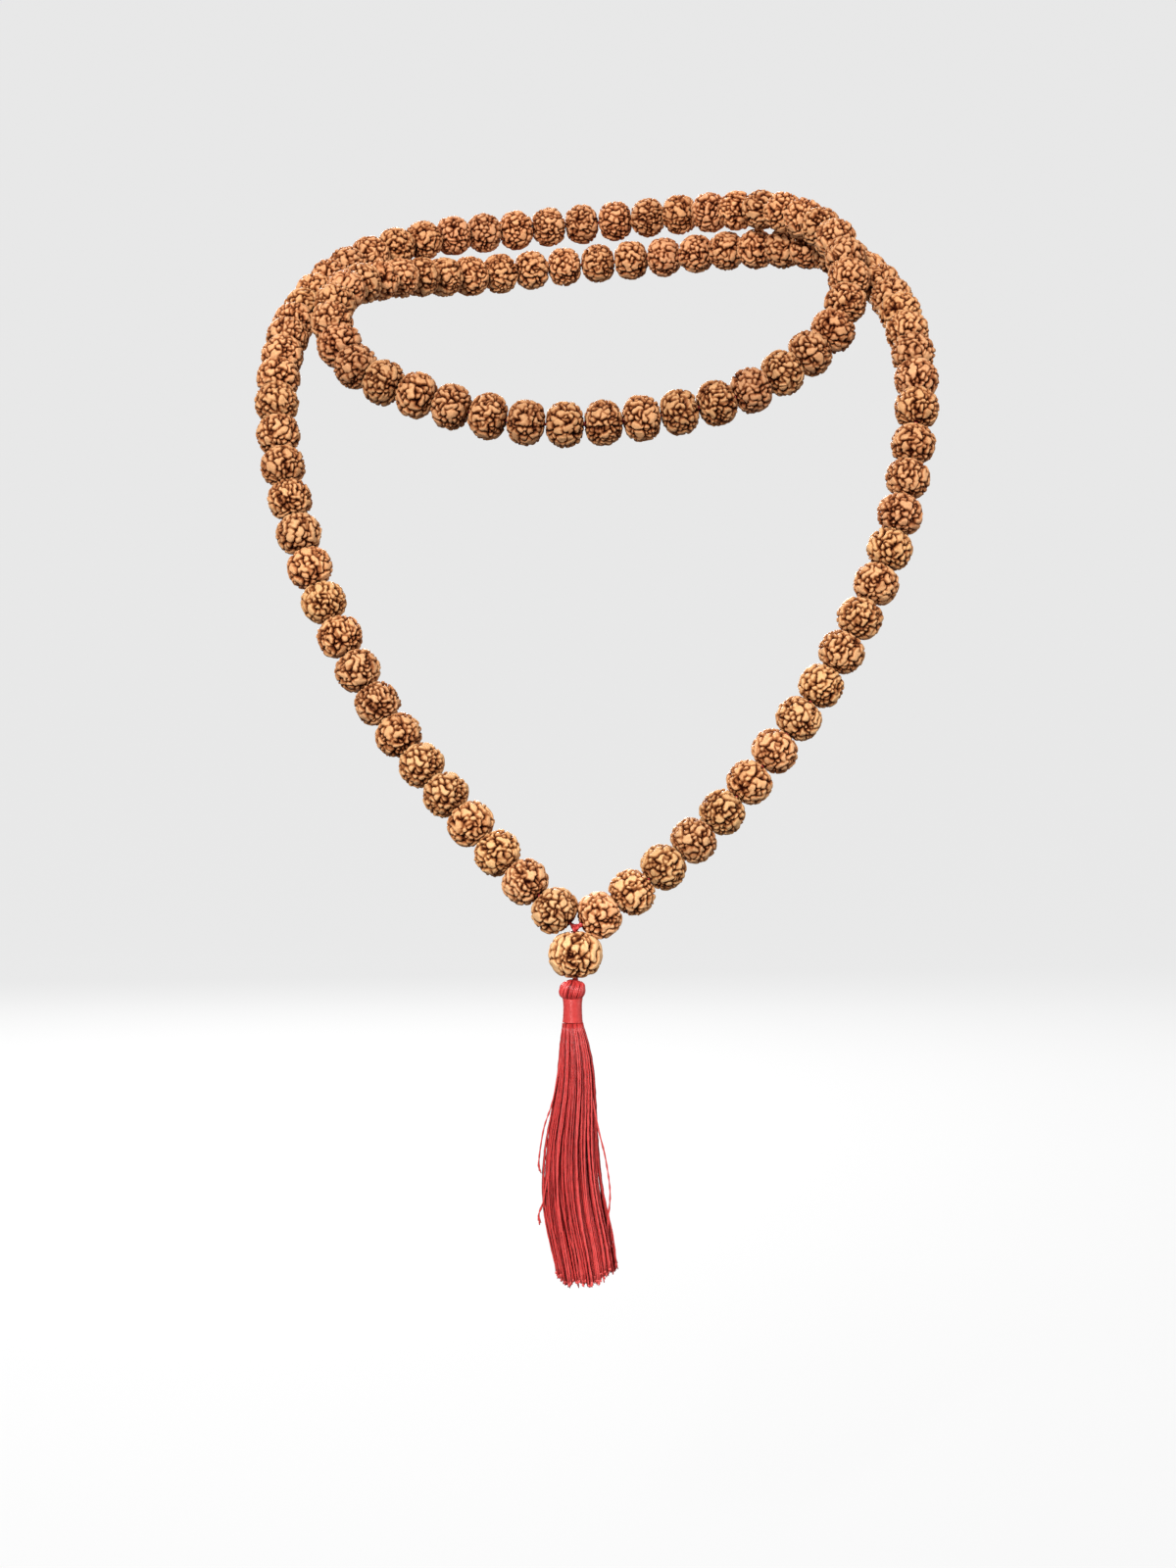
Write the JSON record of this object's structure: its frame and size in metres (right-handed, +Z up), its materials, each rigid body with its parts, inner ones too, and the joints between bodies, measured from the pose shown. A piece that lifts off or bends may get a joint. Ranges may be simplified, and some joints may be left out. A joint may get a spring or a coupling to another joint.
{
  "type": "mala prayer beads",
  "caption": "Rudraksha mala strand worn doubled, with a guru bead and a red tassel; the loops swing, the beads turn on their thread.",
  "frame": {"origin": "the nape: midway between the two runs of beads that lie over the back of the neck, hook or bust that holds the mala up", "axes": "+Z up, the front of the mala faces -Y, +X to the right as seen from the front"},
  "size_m": [0.1233, 0.1148, 0.2044],
  "materials": {
    "seed": "rudraksha seed, deeply furrowed, lightly oiled, tan ridges and dark brown furrows",
    "guru_seed": "rudraksha seed, paler and yellower than the others, with purple-brown furrows",
    "thread": "twisted red cotton thread",
    "silk": "red artificial silk with a soft sheen"
  },
  "bodies": {
    "nape": {"thread_nape_1": "thread", "thread_nape_2": "thread", "beads_nape_1": "seed", "beads_nape_2": "seed"},
    "upper_loop": {"thread_upper": "thread"},
    "lower_loop": {"thread_lower": "thread"},
    "pendant": {"pendant_cord": "thread"},
    "guru": {"guru_bead": "guru_seed"},
    "tassel": {"tassel_head": "silk", "tassel_wrap": "silk"},
    "fringe": {"tassel_fringe": "silk"},
    "bead_047": {"bead_047": "seed"},
    "bead_048": {"bead_048": "seed"},
    "bead_049": {"bead_049": "seed"},
    "bead_050": {"bead_050": "seed"},
    "bead_051": {"bead_051": "seed"},
    "bead_052": {"bead_052": "seed"},
    "bead_053": {"bead_053": "seed"},
    "bead_054": {"bead_054": "seed"},
    "bead_055": {"bead_055": "seed"},
    "bead_056": {"bead_056": "seed"},
    "bead_057": {"bead_057": "seed"},
    "bead_058": {"bead_058": "seed"},
    "bead_059": {"bead_059": "seed"},
    "bead_060": {"bead_060": "seed"},
    "bead_061": {"bead_061": "seed"},
    "bead_062": {"bead_062": "seed"},
    "bead_001": {"bead_001": "seed"},
    "bead_002": {"bead_002": "seed"},
    "bead_003": {"bead_003": "seed"},
    "bead_004": {"bead_004": "seed"},
    "bead_005": {"bead_005": "seed"},
    "bead_006": {"bead_006": "seed"},
    "bead_007": {"bead_007": "seed"},
    "bead_008": {"bead_008": "seed"},
    "bead_009": {"bead_009": "seed"},
    "bead_010": {"bead_010": "seed"},
    "bead_011": {"bead_011": "seed"},
    "bead_012": {"bead_012": "seed"},
    "bead_013": {"bead_013": "seed"},
    "bead_014": {"bead_014": "seed"},
    "bead_015": {"bead_015": "seed"},
    "bead_016": {"bead_016": "seed"},
    "bead_093": {"bead_093": "seed"},
    "bead_094": {"bead_094": "seed"},
    "bead_095": {"bead_095": "seed"},
    "bead_096": {"bead_096": "seed"},
    "bead_097": {"bead_097": "seed"},
    "bead_098": {"bead_098": "seed"},
    "bead_099": {"bead_099": "seed"},
    "bead_100": {"bead_100": "seed"},
    "bead_101": {"bead_101": "seed"},
    "bead_102": {"bead_102": "seed"},
    "bead_103": {"bead_103": "seed"},
    "bead_104": {"bead_104": "seed"},
    "bead_105": {"bead_105": "seed"},
    "bead_106": {"bead_106": "seed"},
    "bead_107": {"bead_107": "seed"},
    "bead_108": {"bead_108": "seed"}
  },
  "joints": [
    {"name": "short_loop_swing", "type": "hinge", "parent": "nape", "child": "upper_loop", "pos_m": [-0.0472, -0.05735, -0.0332], "axis": [-0.9994, 0.0168, -0.0293], "range_deg": [0, 30]},
    {"name": "long_loop_swing", "type": "hinge", "parent": "nape", "child": "lower_loop", "pos_m": [-0.056, -0.0723, -0.05121], "axis": [-0.9978, 0.0625, 0.0204], "range_deg": [0, 45]},
    {"name": "pendant_swing", "type": "hinge", "parent": "lower_loop", "child": "pendant", "pos_m": [-0.0021, -0.1085, -0.1408], "axis": [-1, 0, 0], "range_deg": [0, 25]},
    {"name": "tassel_sway", "type": "hinge", "parent": "pendant", "child": "tassel", "pos_m": [-0.00255, -0.1085, -0.14943], "axis": [0, 1, 0], "range_deg": [-20, 20]},
    {"name": "fringe_swing", "type": "hinge", "parent": "tassel", "child": "fringe", "pos_m": [-0.00255, -0.1085, -0.15715], "axis": [-1, 0, 0], "range_deg": [-15, 25]},
    {"name": "guru_spin", "type": "hinge", "parent": "pendant", "child": "guru", "pos_m": [-0.0021, -0.1085, -0.14525], "axis": [0, 0, 1], "continuous": true},
    {"name": "turn_bead_047", "type": "hinge", "parent": "upper_loop", "child": "bead_047", "pos_m": [0.04511, -0.0609, -0.03335], "axis": [-0.5193, -0.477, -0.7091], "continuous": true},
    {"name": "turn_bead_048", "type": "hinge", "parent": "upper_loop", "child": "bead_048", "pos_m": [0.04074, -0.06379, -0.03798], "axis": [-0.7005, -0.3601, -0.6161], "continuous": true},
    {"name": "turn_bead_049", "type": "hinge", "parent": "upper_loop", "child": "bead_049", "pos_m": [0.03548, -0.06607, -0.04201], "axis": [-0.793, -0.2939, -0.5336], "continuous": true},
    {"name": "turn_bead_050", "type": "hinge", "parent": "upper_loop", "child": "bead_050", "pos_m": [0.02966, -0.06796, -0.04542], "axis": [-0.8673, -0.2464, -0.4325], "continuous": true},
    {"name": "turn_bead_051", "type": "hinge", "parent": "upper_loop", "child": "bead_051", "pos_m": [0.02328, -0.06934, -0.04796], "axis": [-0.9419, -0.1549, -0.2979], "continuous": true},
    {"name": "turn_bead_052", "type": "hinge", "parent": "upper_loop", "child": "bead_052", "pos_m": [0.01655, -0.07024, -0.04971], "axis": [-0.9719, -0.1097, -0.2083], "continuous": true},
    {"name": "turn_bead_053", "type": "hinge", "parent": "upper_loop", "child": "bead_053", "pos_m": [0.00969, -0.07098, -0.05097], "axis": [-0.9816, -0.1081, -0.1574], "continuous": true},
    {"name": "turn_bead_054", "type": "hinge", "parent": "upper_loop", "child": "bead_054", "pos_m": [0.00279, -0.07178, -0.05189], "axis": [-0.9887, -0.1117, -0.1002], "continuous": true},
    {"name": "turn_bead_055", "type": "hinge", "parent": "upper_loop", "child": "bead_055", "pos_m": [-0.00418, -0.07242, -0.0523], "axis": [-0.9981, -0.061, -0.0129], "continuous": true},
    {"name": "turn_bead_056", "type": "hinge", "parent": "upper_loop", "child": "bead_056", "pos_m": [-0.01117, -0.07249, -0.05198], "axis": [-0.9923, 0.0505, 0.1128], "continuous": true},
    {"name": "turn_bead_057", "type": "hinge", "parent": "upper_loop", "child": "bead_057", "pos_m": [-0.01803, -0.0718, -0.05071], "axis": [-0.9618, 0.1383, 0.2363], "continuous": true},
    {"name": "turn_bead_058", "type": "hinge", "parent": "upper_loop", "child": "bead_058", "pos_m": [-0.02466, -0.07061, -0.04879], "axis": [-0.9303, 0.2013, 0.3067], "continuous": true},
    {"name": "turn_bead_059", "type": "hinge", "parent": "upper_loop", "child": "bead_059", "pos_m": [-0.03108, -0.06898, -0.04647], "axis": [-0.8982, 0.2659, 0.3501], "continuous": true},
    {"name": "turn_bead_060", "type": "hinge", "parent": "upper_loop", "child": "bead_060", "pos_m": [-0.03726, -0.06693, -0.04388], "axis": [-0.8476, 0.3375, 0.4094], "continuous": true},
    {"name": "turn_bead_061", "type": "hinge", "parent": "upper_loop", "child": "bead_061", "pos_m": [-0.04256, -0.06395, -0.04045], "axis": [-0.6226, 0.5245, 0.5807], "continuous": true},
    {"name": "turn_bead_062", "type": "hinge", "parent": "upper_loop", "child": "bead_062", "pos_m": [-0.04597, -0.05989, -0.0359], "axis": [-0.3707, 0.6256, 0.6864], "continuous": true},
    {"name": "turn_bead_001", "type": "hinge", "parent": "lower_loop", "child": "bead_001", "pos_m": [-0.00551, -0.10866, -0.1379], "axis": [-0.7291, 0.1473, 0.6684], "continuous": true},
    {"name": "turn_bead_002", "type": "hinge", "parent": "lower_loop", "child": "bead_002", "pos_m": [-0.01045, -0.1069, -0.13326], "axis": [-0.6861, 0.3019, 0.6619], "continuous": true},
    {"name": "turn_bead_003", "type": "hinge", "parent": "lower_loop", "child": "bead_003", "pos_m": [-0.01517, -0.10466, -0.12858], "axis": [-0.6619, 0.3268, 0.6746], "continuous": true},
    {"name": "turn_bead_004", "type": "hinge", "parent": "lower_loop", "child": "bead_004", "pos_m": [-0.01972, -0.10239, -0.12375], "axis": [-0.6341, 0.3204, 0.7037], "continuous": true},
    {"name": "turn_bead_005", "type": "hinge", "parent": "lower_loop", "child": "bead_005", "pos_m": [-0.02411, -0.10003, -0.11882], "axis": [-0.6165, 0.3474, 0.7066], "continuous": true},
    {"name": "turn_bead_006", "type": "hinge", "parent": "lower_loop", "child": "bead_006", "pos_m": [-0.02836, -0.09757, -0.11381], "axis": [-0.5931, 0.3519, 0.7242], "continuous": true},
    {"name": "turn_bead_007", "type": "hinge", "parent": "lower_loop", "child": "bead_007", "pos_m": [-0.03241, -0.09514, -0.10863], "axis": [-0.5618, 0.3377, 0.7552], "continuous": true},
    {"name": "turn_bead_008", "type": "hinge", "parent": "lower_loop", "child": "bead_008", "pos_m": [-0.03621, -0.09288, -0.10318], "axis": [-0.5185, 0.301, 0.8003], "continuous": true},
    {"name": "turn_bead_009", "type": "hinge", "parent": "lower_loop", "child": "bead_009", "pos_m": [-0.03973, -0.09096, -0.09743], "axis": [-0.4858, 0.252, 0.8369], "continuous": true},
    {"name": "turn_bead_010", "type": "hinge", "parent": "lower_loop", "child": "bead_010", "pos_m": [-0.043, -0.08926, -0.09147], "axis": [-0.4468, 0.2415, 0.8614], "continuous": true},
    {"name": "turn_bead_011", "type": "hinge", "parent": "lower_loop", "child": "bead_011", "pos_m": [-0.04598, -0.08749, -0.08538], "axis": [-0.4012, 0.269, 0.8756], "continuous": true},
    {"name": "turn_bead_012", "type": "hinge", "parent": "lower_loop", "child": "bead_012", "pos_m": [-0.04861, -0.0854, -0.07922], "axis": [-0.3462, 0.3307, 0.8779], "continuous": true},
    {"name": "turn_bead_013", "type": "hinge", "parent": "lower_loop", "child": "bead_013", "pos_m": [-0.05084, -0.08306, -0.073], "axis": [-0.2914, 0.3399, 0.8942], "continuous": true},
    {"name": "turn_bead_014", "type": "hinge", "parent": "lower_loop", "child": "bead_014", "pos_m": [-0.05272, -0.08058, -0.06672], "axis": [-0.2452, 0.3714, 0.8955], "continuous": true},
    {"name": "turn_bead_015", "type": "hinge", "parent": "lower_loop", "child": "bead_015", "pos_m": [-0.05428, -0.07779, -0.06048], "axis": [-0.2004, 0.4296, 0.8805], "continuous": true},
    {"name": "turn_bead_016", "type": "hinge", "parent": "lower_loop", "child": "bead_016", "pos_m": [-0.05551, -0.07446, -0.05443], "axis": [-0.1487, 0.5272, 0.8366], "continuous": true},
    {"name": "turn_bead_093", "type": "hinge", "parent": "lower_loop", "child": "bead_093", "pos_m": [0.05743, -0.08108, -0.05704], "axis": [-0.1609, -0.3948, -0.9046], "continuous": true},
    {"name": "turn_bead_094", "type": "hinge", "parent": "lower_loop", "child": "bead_094", "pos_m": [0.05614, -0.08363, -0.06344], "axis": [-0.2077, -0.339, -0.9176], "continuous": true},
    {"name": "turn_bead_095", "type": "hinge", "parent": "lower_loop", "child": "bead_095", "pos_m": [0.0545, -0.0859, -0.06987], "axis": [-0.2622, -0.3125, -0.913], "continuous": true},
    {"name": "turn_bead_096", "type": "hinge", "parent": "lower_loop", "child": "bead_096", "pos_m": [0.05242, -0.08807, -0.07621], "axis": [-0.3335, -0.3098, -0.8904], "continuous": true},
    {"name": "turn_bead_097", "type": "hinge", "parent": "lower_loop", "child": "bead_097", "pos_m": [0.04984, -0.0901, -0.0824], "axis": [-0.401, -0.2709, -0.8751], "continuous": true},
    {"name": "turn_bead_098", "type": "hinge", "parent": "lower_loop", "child": "bead_098", "pos_m": [0.04683, -0.09189, -0.08847], "axis": [-0.4552, -0.2422, -0.8568], "continuous": true},
    {"name": "turn_bead_099", "type": "hinge", "parent": "lower_loop", "child": "bead_099", "pos_m": [0.04348, -0.09352, -0.09441], "axis": [-0.4984, -0.2238, -0.8375], "continuous": true},
    {"name": "turn_bead_100", "type": "hinge", "parent": "lower_loop", "child": "bead_100", "pos_m": [0.03986, -0.09506, -0.10022], "axis": [-0.5333, -0.2139, -0.8185], "continuous": true},
    {"name": "turn_bead_101", "type": "hinge", "parent": "lower_loop", "child": "bead_101", "pos_m": [0.03595, -0.0964, -0.10588], "axis": [-0.5784, -0.1736, -0.7971], "continuous": true},
    {"name": "turn_bead_102", "type": "hinge", "parent": "lower_loop", "child": "bead_102", "pos_m": [0.03177, -0.09756, -0.11139], "axis": [-0.6141, -0.1609, -0.7726], "continuous": true},
    {"name": "turn_bead_103", "type": "hinge", "parent": "lower_loop", "child": "bead_103", "pos_m": [0.02735, -0.09872, -0.11671], "axis": [-0.6453, -0.1751, -0.7436], "continuous": true},
    {"name": "turn_bead_104", "type": "hinge", "parent": "lower_loop", "child": "bead_104", "pos_m": [0.02272, -0.10009, -0.12179], "axis": [-0.6762, -0.2224, -0.7023], "continuous": true},
    {"name": "turn_bead_105", "type": "hinge", "parent": "lower_loop", "child": "bead_105", "pos_m": [0.01781, -0.10177, -0.12651], "axis": [-0.7202, -0.2521, -0.6463], "continuous": true},
    {"name": "turn_bead_106", "type": "hinge", "parent": "lower_loop", "child": "bead_106", "pos_m": [0.01266, -0.1036, -0.1309], "axis": [-0.7449, -0.2702, -0.61], "continuous": true},
    {"name": "turn_bead_107", "type": "hinge", "parent": "lower_loop", "child": "bead_107", "pos_m": [0.00738, -0.10554, -0.13509], "axis": [-0.7587, -0.2852, -0.5857], "continuous": true},
    {"name": "turn_bead_108", "type": "hinge", "parent": "lower_loop", "child": "bead_108", "pos_m": [0.00186, -0.10767, -0.13884], "axis": [-0.8444, -0.2362, -0.4808], "continuous": true}
  ]
}
